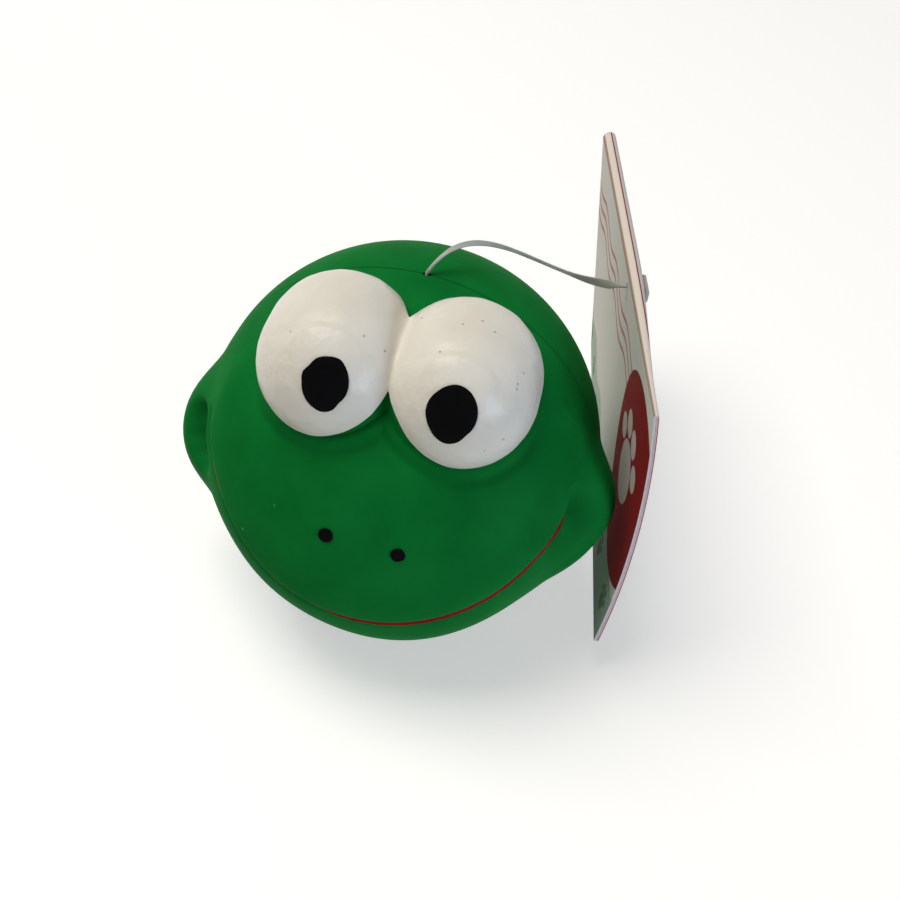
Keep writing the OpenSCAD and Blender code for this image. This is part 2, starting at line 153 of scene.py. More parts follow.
# The room is dim behind the tag and lighter on the other side; the camera sees it as white as the floor.
sky = add(tree, "ShaderNodeSeparateXYZ", Vector=tree.nodes.new("ShaderNodeTexCoord").outputs["Generated"])
fill = add(tree, "ShaderNodeMapRange", Value=sky.outputs["X"], From_Min=-0.8, From_Max=0.6, To_Min=0.2,
           To_Max=0.03)
room = add(tree, "ShaderNodeMapRange", Value=seen_or_mirrored(tree), To_Min=fill.outputs["Result"],
           To_Max=1.12)
put(tree.nodes["Background"], Color=linear("#fbf8f4"), Strength=room.outputs["Result"])
bpy.context.scene.world = world

# The skin: green latex poured in a mould in one piece, hollow, 2.2 mm thick, with a flat to stand on.
# It starts as a ball whose pole is the middle of the face, so that the mouth is one of its rings, and each
# ring is laid where the face needs it. Angles are in degrees: b from the middle of the face, a around it.
skin_wall = 2.2 * mm
base_wall = 3.6 * mm
face_tilt = math.radians(39.6)
lip_angle = 57.8
mouth_half = 82
lip_swell = 1.7 * mm
jaw_swell = 1.1 * mm
cheek_r = 12 * mm
cheek_rise = 3.5 * mm
cheek_below, cheek_before = 21, 2
# Where the skin sinks under the lip, or swells if the depth is less than 0: b, a, depth, spread in degrees.
# The mouth's right corner has a shallow dimple, and the jaw is a little fuller on the right.
dimples = ((63.4, 84, 1.6 * mm, 5.0), (82, -50, 0.6 * mm, 15), (86, 16, -0.7 * mm, 24),
           (77, 86, -0.9 * mm, 11), (84, 62, -0.7 * mm, 9))
# The left corner is a long pocket with steep walls, which runs out along the lip.
pocket = ((66.6, -82, 2.7 * mm, 4.7), (66.6, -78, 2.5 * mm, 4.5), (66, -74, 1.9 * mm, 4.2),
          (65.5, -70.5, 1.2 * mm, 3.8))
# The soft lower lid under both eyes and the shallow crease below it: height, way from the eye, spread.
lid = (0.5 * mm, 0.5 * mm, 0.9 * mm)
lid_crease = (0.28 * mm, 2.1 * mm, 0.7 * mm)
lid_start = 9 * mm
# A slack fold down the right side, behind the eye, and a short sharp dent in it: two places it runs through,
# in mm from the ball's middle, its depth, and its half width and half length in degrees.
slack = (((19.4, -9.6, 20.8), (27.2, -3.9, 12.1), 0.35 * mm, 1.6, 11),
         ((22.65, -6.3, 18.6), (24.7, -5.3, 16.06), 0.5 * mm, 0.8, 2.6))
eye_r = 10.4 * mm
eye_long = 3.4 * mm
eye_sink = 1.9 * mm
eye_merge = 3.4 * mm
eye_splay = math.asin((2 * eye_r - eye_merge) / 2 / (ball_r - eye_sink))
eye_lift = math.radians(59.4)
columns = 360
face_axis = np.array((0, -math.cos(face_tilt), math.sin(face_tilt)))
face_down = np.array((0, -math.sin(face_tilt), -math.cos(face_tilt)))
face_side = np.array((1.0, 0, 0))
middle = np.array(centre)
# The lips in section: degrees past the lip's edge, share of the lower lip, and depth under it in mm.
lip_section = ((-3.2, 0, 0), (-2.2, 0, 0), (-1.4, 0, 0.02), (-0.8, 0, 0.06), (-0.35, 0, 0.16),
               (-0.08, 0, 0.34), (-0.02, 0, 0.62), (-0.3, 0, 1.05), (-0.35, 0, 1.45), (0.2, 0.5, 1.3),
               (0.8, 1, 1.0), (1.3, 1, 0.8), (1.7, 1, 0.5), (2.2, 1, 0.2), (3, 1, 0.04), (4, 1, 0))


def ease(t):
    """A smooth step from 0 to 1."""
    t = np.clip(t, 0, 1)
    return t * t * (3 - 2 * t)


def hump(x, spread):
    """A bell that is 1 at 0."""
    return np.exp(-(x / spread) ** 2)


def soft_max(p, q, k):
    """The larger of two values, with a fillet where they are within k of each other."""
    h = np.maximum(k - np.abs(p - q), 0) / k
    return np.maximum(p, q) + h * h * k / 4


def face_dir(b, a):
    """The direction from the ball's middle, b degrees from the middle of the face and a degrees around it."""
    b = np.radians(np.asarray(b, float))[..., None]
    a = np.radians(np.asarray(a, float))[..., None]
    return np.cos(b) * face_axis + np.sin(b) * (np.cos(a) * face_down + np.sin(a) * face_side)


def angle_to(directions, spot):
    """The angle in degrees between directions and one spot's direction."""
    return np.degrees(np.arccos(np.clip(directions @ np.asarray(spot).reshape(3), -1, 1)))


def snout(a):
    """How far the lips stand out around the face: 1 along the mouth, running out past its corners."""
    return 1 - ease((np.abs(a) - mouth_half - 4) / 26)


def mouth(a):
    """1 where the lips are parted, and 0 past the mouth's corners."""
    return 1 - ease((np.abs(a) - mouth_half + 3) / 9)


def lip_drift(a):
    """How far the lip strays from an even ring: higher over the left cheek, lower in the right corner."""
    return -3.2 * hump(a + 60, 26) + 0.8 * ease((a - 55) / 20) * ease((172 - a) / 50)


def eye_middle(side):
    """The middle of an eye dome, from the middle of the ball."""
    return (ball_r - eye_sink) * np.array((
        side * math.sin(eye_splay), -math.cos(eye_splay) * math.cos(eye_lift),
        math.cos(eye_splay) * math.sin(eye_lift)))


def cheek_reach(turn):
    """How far out a cheek lobe goes at an angle from its middle, or 0 beside it."""
    away = ball_r + cheek_rise - cheek_r
    t = np.radians(np.minimum(turn, 89))
    q = cheek_r ** 2 - (away * np.sin(t)) ** 2
    return np.where((q > 0) & (turn < 90), away * np.cos(t) + np.sqrt(np.maximum(q, 0)), 0)


def eye_gap(points, side):
    """The distance of points from an eye dome's skin: a ball stretched from front to back."""
    p = points - eye_middle(side)
    p[:, 1] -= np.clip(p[:, 1], -eye_long / 2, eye_long / 2)
    return np.linalg.norm(p, axis=1) - eye_r


def eye_reach(start, directions, side):
    """How far rays from a place in the head go before they leave an eye dome, or 0 where they miss it."""
    near = np.maximum(directions @ (eye_middle(side) - start), 0)
    far = near + 1.2 * eye_r + eye_long
    hit = eye_gap(start + directions * near[:, None], side) < 0
    for _ in range(30):
        half = (near + far) / 2
        inside = eye_gap(start + directions * half[:, None], side) < 0
        near = np.where(inside, half, near)
        far = np.where(inside, far, half)
    return np.where(hit, near, 0)


# The rows of the skin from face to back: angle past the mouth's corners, angle in the mouth, share of the
# lower lip, and depth under the lip.
upper_count, upper_steps, jaw_count = 100, 106, 88
lip_first, lip_last = lip_section[0][0], lip_section[-1][0]
lip_steps = len(lip_section) - 1
jaw_start = lip_angle + lip_last + 1
upper_rings = [lip_angle * i / upper_steps for i in range(1, upper_count + 1)]
jaw_rings = [jaw_start + (180 - jaw_start) * (i / jaw_count) for i in range(jaw_count)]
rows = ([(b, b, 0, 0) for b in upper_rings]
        + [(lip_angle + lip_first + (lip_last - lip_first) * i / lip_steps, lip_angle + d, s, c * mm)
           for i, (d, s, c) in enumerate(lip_section)]
        + [(b, b, 1, 0) for b in jaw_rings])
ring_count = len(rows) + 1
table = np.array([(0, 0, 0, 0)] + rows + [(180, 180, 1, 0)])
lip_row = len(upper_rings) + 1


def skin_at(row, turn):
    """Points of the skin for rows of the table and turns around the face."""
    even, laid, lower, depth = (np.interp(row, np.arange(len(table)), column) for column in table.T)
    open_mouth = mouth(turn)
    b = even + (laid - even) * open_mouth
    share = lower * open_mouth + ease((b - lip_angle + 8) / 16) * (1 - open_mouth)
    directions = face_dir(b + lip_drift(turn) * hump(b - lip_angle, 30), turn)
    upper = lip_swell * hump(b - lip_angle + 1, 24) * snout(turn)
    jaw = jaw_swell * hump(b - lip_angle - 6, 15) * snout(turn)
    reach = ball_r + upper * (1 - share) + jaw * share
    lobes = [face_dir(lip_angle + cheek_below, side * (mouth_half - cheek_before)) for side in (-1, 1)]
    cheek = np.minimum(*[angle_to(directions, lobe) for lobe in lobes])
    reach = soft_max(reach, cheek_reach(cheek), 2 * mm)
    for spot_b, spot_a, deep, spread in dimples:
        reach = reach - deep * share * hump(angle_to(directions, face_dir(spot_b, spot_a)), spread)
    sunk = [deep * hump(angle_to(directions, face_dir(spot_b, spot_a)) ** 2, spread ** 2)
            for spot_b, spot_a, deep, spread in pocket]
    reach = reach - share * np.max(sunk, axis=0)
    reach = reach - depth * open_mouth
    skull = directions * reach[:, None]
    away = np.minimum(eye_gap(skull, -1), eye_gap(skull, 1))
    under = ease(((skull - (eye_middle(-1) + eye_middle(1)) / 2) @ face_down) / lid_start)
    for sign, (high, way, spread) in ((1, lid), (-1, lid_crease)):
        reach = reach + sign * under * high * hump(away - way, spread)
    for start, end, deep, width, length in slack:
        pole = np.cross(start, end)
        off = np.degrees(np.arcsin(np.clip(directions @ (pole / np.linalg.norm(pole)), -1, 1)))
        half = np.array(start) + np.array(end)
        along = angle_to(directions, half / np.linalg.norm(half))
        reach = reach - deep * hump(off, width) * hump(along, length)
    eyes = soft_max(*[eye_reach(np.zeros(3), directions, side) for side in (-1, 1)], 1.4 * mm)
    reach = soft_max(reach, eyes, 0.9 * mm)
    return middle + directions * reach[:, None]


bpy.ops.object.select_all(action="DESELECT")
bpy.ops.mesh.primitive_uv_sphere_add(segments=columns, ring_count=ring_count, radius=ball_r)
skin = bpy.context.object
skin.name = "latex_skin"
points = np.array([v.co for v in skin.data.vertices])
ring = np.rint(np.arccos(np.clip(points[:, 2] / ball_r, -1, 1)) / np.pi * ring_count).astype(int)
turn = np.degrees(np.arctan2(points[:, 1], points[:, 0]))
skin.data.vertices.foreach_set("co", skin_at(ring, turn).ravel())
skin.data.update()
bpy.ops.object.mode_set(mode="EDIT")
bpy.ops.mesh.select_all(action="SELECT")
bpy.ops.mesh.bisect(plane_co=(0, 0, 0), plane_no=(0, 0, -1), use_fill=True, clear_outer=True,
                    threshold=0.001 * mm)
bpy.ops.object.mode_set(mode="OBJECT")


def face_outward():
    """Turns all faces of the active piece outward."""
    bpy.ops.object.mode_set(mode="EDIT")
    bpy.ops.mesh.select_all(action="SELECT")
    bpy.ops.mesh.normals_make_consistent(inside=False)
    bpy.ops.object.mode_set(mode="OBJECT")


def cut(piece, cutter, operation="DIFFERENCE"):
    """Takes a cutter away from a piece, or joins it on, and removes the cutter."""
    bpy.ops.object.select_all(action="DESELECT")
    bpy.context.view_layer.objects.active = piece
    piece.select_set(True)
    change = piece.modifiers.new("cut", "BOOLEAN")
    change.operation = operation
    change.solver = "EXACT"
    change.object = cutter
    bpy.ops.object.modifier_apply(modifier=change.name)
    bpy.data.objects.remove(cutter)
    bpy.ops.object.mode_set(mode="EDIT")
    bpy.ops.mesh.select_all(action="SELECT")
    bpy.ops.mesh.dissolve_degenerate(threshold=0.0005 * mm)
    bpy.ops.mesh.remove_doubles(threshold=0.0005 * mm)
    bpy.ops.object.mode_set(mode="OBJECT")


face_outward()
bpy.ops.object.select_all(action="DESELECT")
bpy.ops.mesh.primitive_uv_sphere_add(segments=96, ring_count=48, radius=ball_r - skin_wall, location=centre)
hollow = bpy.context.object
bpy.ops.object.mode_set(mode="EDIT")
bpy.ops.mesh.select_all(action="SELECT")
bpy.ops.mesh.bisect(plane_co=(0, 0, base_wall), plane_no=(0, 0, -1), use_fill=True, clear_outer=True,
                    threshold=0.001 * mm)
bpy.ops.object.mode_set(mode="OBJECT")
cut(skin, hollow)
flange_d = 13 * mm
flange_t = 1.2 * mm
tube_d = 9.8 * mm
free_gap = 0.3 * mm
push_gap = 0.06 * mm
for width, height in ((flange_d + 2 * free_gap, free_gap + flange_t + push_gap),
                      (tube_d + 2 * push_gap, 6 * mm)):
    bpy.ops.object.select_all(action="DESELECT")
    bpy.ops.mesh.primitive_cylinder_add(vertices=96, radius=width / 2, depth=2 * height)
    cut(skin, bpy.context.object)
# The pin was shot through the crown, which leaves a short slit along the head's width.
slit = (1.3 * mm, 0.85 * mm)
bpy.ops.object.select_all(action="DESELECT")
bpy.ops.mesh.primitive_cylinder_add(vertices=46, radius=slit[1] / 2, depth=6 * mm,
                                    location=centre + Vector((0.03 * mm, -0.04 * mm, ball_r)))
needle = bpy.context.object
bpy.ops.object.mode_set(mode="EDIT")
bpy.ops.transform.resize(value=(slit[0] / slit[1], 1, 1))
bpy.ops.object.mode_set(mode="OBJECT")
cut(skin, needle)
bpy.ops.object.shade_smooth_by_angle(angle=math.radians(50))


def spotted(tree, place, colour, spot, ink, edge, core, strong, settings=()):
    """A colour with a soft round spot in it: its place from the ball's middle, two radii in mm, and strength."""
    away = add(tree, "ShaderNodeVectorMath", {"operation": "DISTANCE"}, _0=place,
               _1=middle + np.array(spot) * mm)
    inside = add(tree, "ShaderNodeMapRange", settings, Value=away.outputs["Value"], From_Min=edge * mm,
                 From_Max=core * mm, To_Max=strong)
    return add(tree, "ShaderNodeMix", {"data_type": "RGBA"}, Factor=inside.outputs["Result"], A=colour,
               B=linear(ink)).outputs["Result"]


latex, tree, shader, place = new_material("poured latex")
# Poured latex is satin and deep in colour, with a faint mottle, fine pits from the mould, and dust in it.
# The two halves of the mould met in the plane through the crown and left a hair-thin line there; the darker green
# along it is painted shade.
grain = add(tree, "ShaderNodeTexNoise", Vector=place, Scale=1 / (0.9 * mm), Detail=4.0)
mottle = add(tree, "ShaderNodeTexNoise", Vector=place, Scale=1 / (9 * mm), Detail=3.0)
patch = add(tree, "ShaderNodeMapRange", Value=mottle.outputs["Fac"], From_Min=0.35, From_Max=0.65)
colour = add(tree, "ShaderNodeMix", {"data_type": "RGBA"}, Factor=patch.outputs["Result"],
             A=linear("#0b6f2d"), B=linear("#107933")).outputs["Result"]
dust = ((-12.84, -27.8, 5.97), (-17.18, -26.27, -0.97), (0.25, -28.15, 12.0), (3.67, -27.7, 12.48),
        (2.23, -29.5, 9.25), (-1.07, -30.04, 7.57), (-22.3, -17.8, -9.5), (17.1, -26.6, -6.2), (12, 18, 21.5),
        (-16.5, 12.5, 22), (-4, 27, 12.4), (21, 20, 8), (-24.5, 15.5, -8), (9, 28, -7))
for spot in dust:
    colour = spotted(tree, place, colour, spot, "#56b878", 0.4, 0.2, 0.9)
# Painted shade: darker green in the pockets at both corners of the mouth, where shade falls.
for spot, strong in (((-28.7, -12.2, 4.6), 0.6), ((-27.2, -14.6, 3.2), 0.5), ((28.6, -13, 4.2), 0.25)):
    colour = spotted(tree, place, colour, spot, "#043213", 4.2, 0.6, strong,
                     {"interpolation_type": "SMOOTHSTEP"})
apart = add(tree, "ShaderNodeSeparateXYZ", Vector=place)
askew = add(tree, "ShaderNodeMath", {"operation": "MULTIPLY_ADD"}, _0=apart.outputs["X"], _1=0.05,
            _2=apart.outputs["Y"])
from_seam = add(tree, "ShaderNodeMath", {"operation": "ABSOLUTE"}, _0=askew.outputs[0])
seam = add(tree, "ShaderNodeMapRange", Value=from_seam.outputs[0], From_Min=0.08 * mm, From_Max=0.3 * mm,
           To_Min=0.5, To_Max=0.0)
# Painted shade: along the seam the colour is mixed up to halfway towards a dark green.
seam_shaded = add(tree, "ShaderNodeMix", {"data_type": "RGBA"}, Factor=seam.outputs["Result"], A=colour,
            B=linear("#053a18"))
rough = add(tree, "ShaderNodeMapRange", Value=grain.outputs["Fac"], To_Min=0.5, To_Max=0.65)
fine = add(tree, "ShaderNodeBump", Height=grain.outputs["Fac"], Strength=0.12, Distance=0.25 * mm)
ridge = add(tree, "ShaderNodeBump", Height=seam.outputs["Result"], Normal=fine.outputs["Normal"],
            Strength=0.35, Distance=0.12 * mm)
put(shader, Base_Color=seam_shaded.outputs["Result"], Roughness=rough.outputs["Result"], Normal=ridge.outputs["Normal"],
    IOR=1.45, Specular_IOR_Level=0.015)
skin.data.materials.clear()
skin.data.materials.append(latex)
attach(skin, "ball")
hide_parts("head_skin")

# The red line: a thin brushed line of red paint in the crease, on the lower lip under the upper lip's edge.
# It is a strip laid on the skin's rows; on the left the brush barely touched, so that it mostly hides there.
line_from, line_to = -79, 81
line_coat = 0.12 * mm
lower_lip = 9
bpy.ops.object.select_all(action="DESELECT")
bpy.ops.mesh.primitive_grid_add(x_subdivisions=320, y_subdivisions=6, size=1)
red_line = bpy.context.object
red_line.name = "mouth_line"
points = np.array([v.co for v in red_line.data.vertices])
turn = line_from + (points[:, 0] + 0.5) * (line_to - line_from)
# How far down the lower lip the paint shows, in degrees past the lip's edge.
lower = np.interp(turn, (-79, -72, -66, -60, -55, -48, -32, -28, -22, -17, -9, -4, 60, 74, 81),
                  (1.7, 2.2, 2.5, 2.55, 2.35, 2.0, 2.1, 2.4, 2.4, 2.2, 2.3, 2.65, 2.7, 2.55, 2.0))
lower = lower + 0.06 * np.sin(turn * 0.9) + 0.05 * np.sin(turn * 2.3 + 1)
section = np.array(lip_section)
last = np.interp(lower, section[lower_lip:, 0], np.arange(lower_lip, len(section)))
row = lip_row + lower_lip + (last - lower_lip) * (points[:, 1] + 0.5)
ground = skin_at(row, turn)
outward = ground - middle
ground += outward / np.linalg.norm(outward, axis=1)[:, None] * line_coat / 2
red_line.data.vertices.foreach_set("co", ground.ravel())
red_line.data.update()
wall = red_line.modifiers.new("coat", "SOLIDIFY")
wall.thickness = line_coat
wall.offset = 0
bpy.ops.object.modifier_apply(modifier=wall.name)
face_outward()
bpy.ops.object.shade_smooth_by_angle(angle=math.radians(50))
red_paint, tree, shader, place = new_material("red brush paint")
# Thin paint put on with a fine brush shows the strokes as lighter and darker stretches.
streak = add(tree, "ShaderNodeTexNoise", Vector=place, Scale=1 / (1.5 * mm), Detail=3.0)
red = add(tree, "ShaderNodeMix", {"data_type": "RGBA"}, Factor=streak.outputs["Fac"], A=linear("#7a1518"),
          B=linear("#a32428"))
put(shader, Base_Color=red.outputs["Result"], Roughness=0.45, Specular_IOR_Level=0.08)
red_line.data.materials.append(red_paint)
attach(red_line, "ball")
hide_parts("mouth_line_paint")

# The whites of the eyes: one thick coat of warm white latex paint over both domes, brushed to a rounded edge.
# It is laid out around the point between the two eyes; the paint has run together and fills the groove there.
coat = 0.35 * mm
coat_round = 0.45 * mm
coat_sunk = 0.05 * mm
uneven = 0.035 * mm
iris_d = 12.4 * mm
iris_step = 0.42 * mm
iris_lift = math.radians(21)
iris_axis = np.array((0, -math.cos(iris_lift), math.sin(iris_lift)))
iris_up = np.array((0, math.sin(iris_lift), math.cos(iris_lift)))
between = (eye_middle(-1) + eye_middle(1)) / 2
eyes_out = between / np.linalg.norm(between)
eyes_up = np.cross(eyes_out, face_side)
# The paint's edge as the brush left it: turn from the right over the top, and angle from the eyes' axis.
paint_edge = ((-180, 104), (-163, 102), (-146, 99), (-137, 96.8), (-130, 93.7), (-121.7, 88.4), (-114, 82),
              (-108, 75), (-102, 66.6), (-97, 55.3), (-92.5, 46.5), (-90, 45.5), (-87, 47.5), (-82.5, 54.7),
              (-75, 64.9), (-69, 75.3), (-61.6, 84), (-53, 90.6), (-44, 95.6), (-34.4, 98), (-20, 99.5),
              (0, 100), (20, 100), (39, 100), (48, 98), (57.5, 94.5), (66.6, 89), (75, 80), (84.7, 66),
              (90, 58), (93, 56), (97, 61), (105, 78), (116, 90), (126.6, 97), (135.4, 101), (150, 103.5),
              (180, 104))
round_steps, out_steps = 300, 90
bpy.ops.object.select_all(action="DESELECT")
bpy.ops.mesh.primitive_grid_add(x_subdivisions=round_steps, y_subdivisions=out_steps, size=1)
white = bpy.context.object
white.name = "eye_white"
points = np.array([v.co for v in white.data.vertices])
turn = np.radians(360 * (points[:, 0] + 0.5))
# The rings of points lie closer together towards the paint's edge.
share = np.interp(points[:, 1] + 0.5, (0, 0.86, 1), (0, 0.965, 1))
edge = np.interp((np.degrees(turn) + 180) % 360 - 180, *np.array(paint_edge).T)
edge = edge + 0.35 * np.sin(7 * turn + 1) + 0.25 * np.sin(13 * turn)
slope = np.radians(edge * share)
across = np.cos(turn)[:, None] * face_side + np.sin(turn)[:, None] * eyes_up
directions = np.cos(slope)[:, None] * eyes_out + np.sin(slope)[:, None] * across
reach = soft_max(*[eye_reach(between, directions, side) for side in (-1, 1)], 3.2 * mm)
ground = between + directions * reach[:, None]
outward = []
for side in (-1, 1):
    p = ground - eye_middle(side)
    p[:, 1] -= np.clip(p[:, 1], -eye_long / 2, eye_long / 2)
    outward.append(p / np.linalg.norm(p, axis=1)[:, None])
mine = ease(ground[:, 0] / (2.4 * mm) + 0.5)[:, None]
outward = outward[1] * mine + outward[0] * (1 - mine)
outward /= np.linalg.norm(outward, axis=1)[:, None]
to_edge = np.radians(edge * (1 - share)) * reach
thick = (coat + coat_sunk) * np.sqrt(1 - np.clip(1 - to_edge / coat_round, 0, 1) ** 2) - coat_sunk
for side in (-1, 1):
    p = ground - eye_middle(side)
    in_front = p @ iris_axis
    from_axis = np.linalg.norm(p - in_front[:, None] * iris_axis, axis=1)
    # The iris stands out with a step at its top, and runs out softly at its sides and below.
    soft = 1 * mm + 7 * mm * (1 - ease(p @ iris_up / from_axis * 1.1 + 0.1))
    thick = thick + iris_step * ease((iris_d / 2 - from_axis) / soft + 0.5) * (in_front > 0)
# The brush left the coat slightly uneven.
x, y, z = (ground / mm).T
wrinkle = (np.sin(1.3 * x + 0.5 * z) * np.sin(1.1 * z - 0.7 * y + 1)
           + 0.6 * np.sin(2.3 * z + x) * np.sin(1.9 * x - y))
thick = thick + uneven * wrinkle * ease(to_edge / (2 * mm))
white.data.vertices.foreach_set("co", (middle + ground + outward * thick[:, None]).ravel())
white.data.update()
bpy.ops.object.mode_set(mode="EDIT")
bpy.ops.mesh.select_all(action="SELECT")
bpy.ops.mesh.remove_doubles(threshold=0.0003 * mm)
bpy.ops.object.mode_set(mode="OBJECT")
face_outward()
if sum((p.normal.dot(Vector(eyes_out)) * p.area for p in white.data.polygons)) < 0:
    white.data.flip_normals()
wall = white.modifiers.new("coat", "SOLIDIFY")
wall.thickness = coat - 0.08 * mm
wall.offset = -1
bpy.ops.object.modifier_apply(modifier=wall.name)
bpy.ops.object.shade_smooth_by_angle(angle=math.radians(60))
white_paint, tree, shader, place = new_material("thick white latex paint")
# Thick paint levels to a satin skin with a faint ripple, and leaves pinholes where bubbles burst.
ripple = add(tree, "ShaderNodeTexNoise", Vector=place, Scale=1 / (1.6 * mm), Detail=5.0)
cloud = add(tree, "ShaderNodeTexNoise", Vector=place, Scale=1 / (6 * mm), Detail=2.0)
colour = add(tree, "ShaderNodeMix", {"data_type": "RGBA"}, Factor=cloud.outputs["Fac"], A=linear("#e6e1d4"),
             B=linear("#efebe1")).outputs["Result"]
pinholes = ((-4.38, -19.91, 31.7), (-2.36, -23.01, 26.98), (-12.11, -25.45, 22.06), (-13.8, -20.99, 30.56),
            (-1.47, -19.48, 29.77), (1.82, -12.52, 31.26), (7.61, -15.31, 33.69), (11.86, -14.91, 33.27),
            (9.38, -20.8, 32.21), (16.72, -17.56, 29.79), (16.32, -19.52, 29.3), (16.34, -20.05, 28.88),
            (7.09, -25.78, 21.25), (13.91, -24.57, 21.43), (15.99, -23.2, 22.82), (12.21, -24.21, 27.88),
            (9.97, -13.63, 33.67), (5.74, -20.22, 32.08), (-9, -8, 32.6), (-14.5, -5.5, 29.4))
for spot in pinholes:
    colour = spotted(tree, place, colour, spot, "#6d6353", 0.25, 0.1, 0.6)
bump = add(tree, "ShaderNodeBump", Height=ripple.outputs["Fac"], Strength=0.4, Distance=0.45 * mm)
put(shader, Base_Color=colour, Roughness=0.33, Specular_IOR_Level=0.35, Normal=bump.outputs["Normal"])
white.data.materials.append(white_paint)
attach(white, "ball")
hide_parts("eye_white_paint")

# The pupils and nostrils: dabs of black paint put on by hand, so that no two outlines are the same.
# Each starts as a disc with rings in it, is pressed onto what it is painted on, and is given its thickness.
black_coat = 0.2 * mm
black_paint, tree, shader, place = new_material("thick black paint")
# The paint dried to a dull satin with a slightly uneven skin.
grain = add(tree, "ShaderNodeTexNoise", Vector=place, Scale=1 / (0.9 * mm), Detail=4.0)
cloud = add(tree, "ShaderNodeTexNoise", Vector=place, Scale=1 / (2.5 * mm), Detail=2.0)
black = add(tree, "ShaderNodeMix", {"data_type": "RGBA"}, Factor=cloud.outputs["Fac"], A=linear("#030304"),
            B=linear("#09080a"))
rough = add(tree, "ShaderNodeMapRange", Value=grain.outputs["Fac"], To_Min=0.38, To_Max=0.55)
bump = add(tree, "ShaderNodeBump", Height=grain.outputs["Fac"], Strength=0.12, Distance=0.2 * mm)
put(shader, Base_Color=black.outputs["Result"], Roughness=rough.outputs["Result"], Normal=bump.outputs["Normal"],
    Specular_IOR_Level=0.03)


def dab(name, ground, start, outward, outline, replaced, shift=(0, 0)):
    """A dab of paint on a piece, pressed on from a start outside it; outline holds its radii in mm."""
    bpy.ops.object.select_all(action="DESELECT")
    bpy.ops.mesh.primitive_circle_add(vertices=96, radius=1, fill_type="NGON")
    paint = bpy.context.object
    paint.name = name
    bpy.ops.object.mode_set(mode="EDIT")
    for _ in range(7):
        bpy.ops.mesh.inset(thickness=0.12)
    bpy.ops.mesh.poke()
    bpy.ops.object.mode_set(mode="OBJECT")
    count = len(outline)
    # A smooth curve runs through the outline's radii.
    for v in paint.data.vertices:
        at = math.atan2(v.co.y, v.co.x) / math.tau * count % count
        i = int(at)
        t = at - i
        p = [outline[(i + k) % count] for k in (-1, 0, 1, 2)]
        size = 0.5 * (2 * p[1] + (p[2] - p[0]) * t + (2 * p[0] - 5 * p[1] + 4 * p[2] - p[3]) * t * t
                      + (3 * p[1] - p[0] - 3 * p[2] + p[3]) * t ** 3)
        v.co.x = (v.co.x * size + shift[0]) * mm
        v.co.y = (v.co.y * size + shift[1]) * mm
    outward = Vector(outward).normalized()
    across = Vector((0, 0, 1)).cross(outward).normalized()
    paint.matrix_world = Matrix.Translation(Vector(start)) @ Matrix(
        (across, outward.cross(across), outward)).transposed().to_4x4()
    press = paint.modifiers.new("press", "SHRINKWRAP")
    press.target = ground
    press.wrap_method = "PROJECT"
    press.use_project_z = True
    press.use_negative_direction = True
    press.use_positive_direction = False
    press.offset = 0.03 * mm
    bpy.ops.object.modifier_apply(modifier=press.name)
    wall = paint.modifiers.new("coat", "SOLIDIFY")
    wall.thickness = black_coat
    wall.offset = 1
    bpy.ops.object.modifier_apply(modifier=wall.name)
    bpy.ops.object.transform_apply(location=True, rotation=True, scale=True)
    bpy.ops.object.mode_set(mode="EDIT")
    bpy.ops.mesh.select_mode(type="EDGE")
    bpy.ops.mesh.select_all(action="DESELECT")
    bpy.ops.mesh.edges_select_sharp(sharpness=math.radians(50))
    bpy.ops.mesh.bevel(offset=black_coat * 0.45, segments=3, affect="EDGES")
    bpy.ops.object.mode_set(mode="OBJECT")
    bpy.ops.object.shade_smooth_by_angle(angle=math.radians(70))
    paint.data.materials.append(black_paint)
    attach(paint, "ball")
    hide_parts(replaced)


def aim(lift, turn):
    """A direction out of the face, turned up and to the right by degrees."""
    lift, turn = math.radians(lift), math.radians(turn)
    return Vector((math.sin(turn) * math.cos(lift), -math.cos(turn) * math.cos(lift), math.sin(lift)))


look = aim(18, 5)
dab("pupil_left", white, centre + Vector(eye_middle(-1)) + look * 20 * mm, look,
    (3.05, 3.23, 3.54, 3.94, 3.82, 3.69, 3.29, 3.3, 3.0, 2.99, 3.12, 3.35, 3.66, 3.49, 2.96, 2.98),
    "pupil_left_paint", (-0.12, -0.14))
look = aim(18, 2)
dab("pupil_right", white, centre + Vector(eye_middle(1)) + look * 20 * mm, look,
    (3.36, 3.52, 3.77, 4.01, 4.05, 3.78, 3.5, 3.38, 3.27, 3.2, 3.31, 3.69, 4.0, 3.77, 3.3, 3.29),
    "pupil_right_paint", (-0.16, -0.29))
for name, outward, outline in (
        ("left", Vector((-0.1547, -0.975, 0.1594)),
         (1.06, 1.08, 1.1, 1.06, 1.04, 1.05, 1.08, 1.1, 1.07, 1.04, 1.06, 1.08)),
        ("right", Vector((0.1774, -0.9737, 0.1428)),
         (1.05, 1.0, 1.04, 1.02, 0.98, 1.03, 1.06, 1.0, 1.02, 1.0, 0.97, 1.03))):
    dab("nostril_" + name, skin, centre + outward * 45 * mm, outward, outline, f"nostril_{name}_paint")

# The filling: white polyester fleece, stuffed in through the hole under the ball around squeaker and pin.
# A ball of rings is made lumpy, as tufts of fleece lie, and the rooms are cut out of it.
fill_r = 27.2 * mm
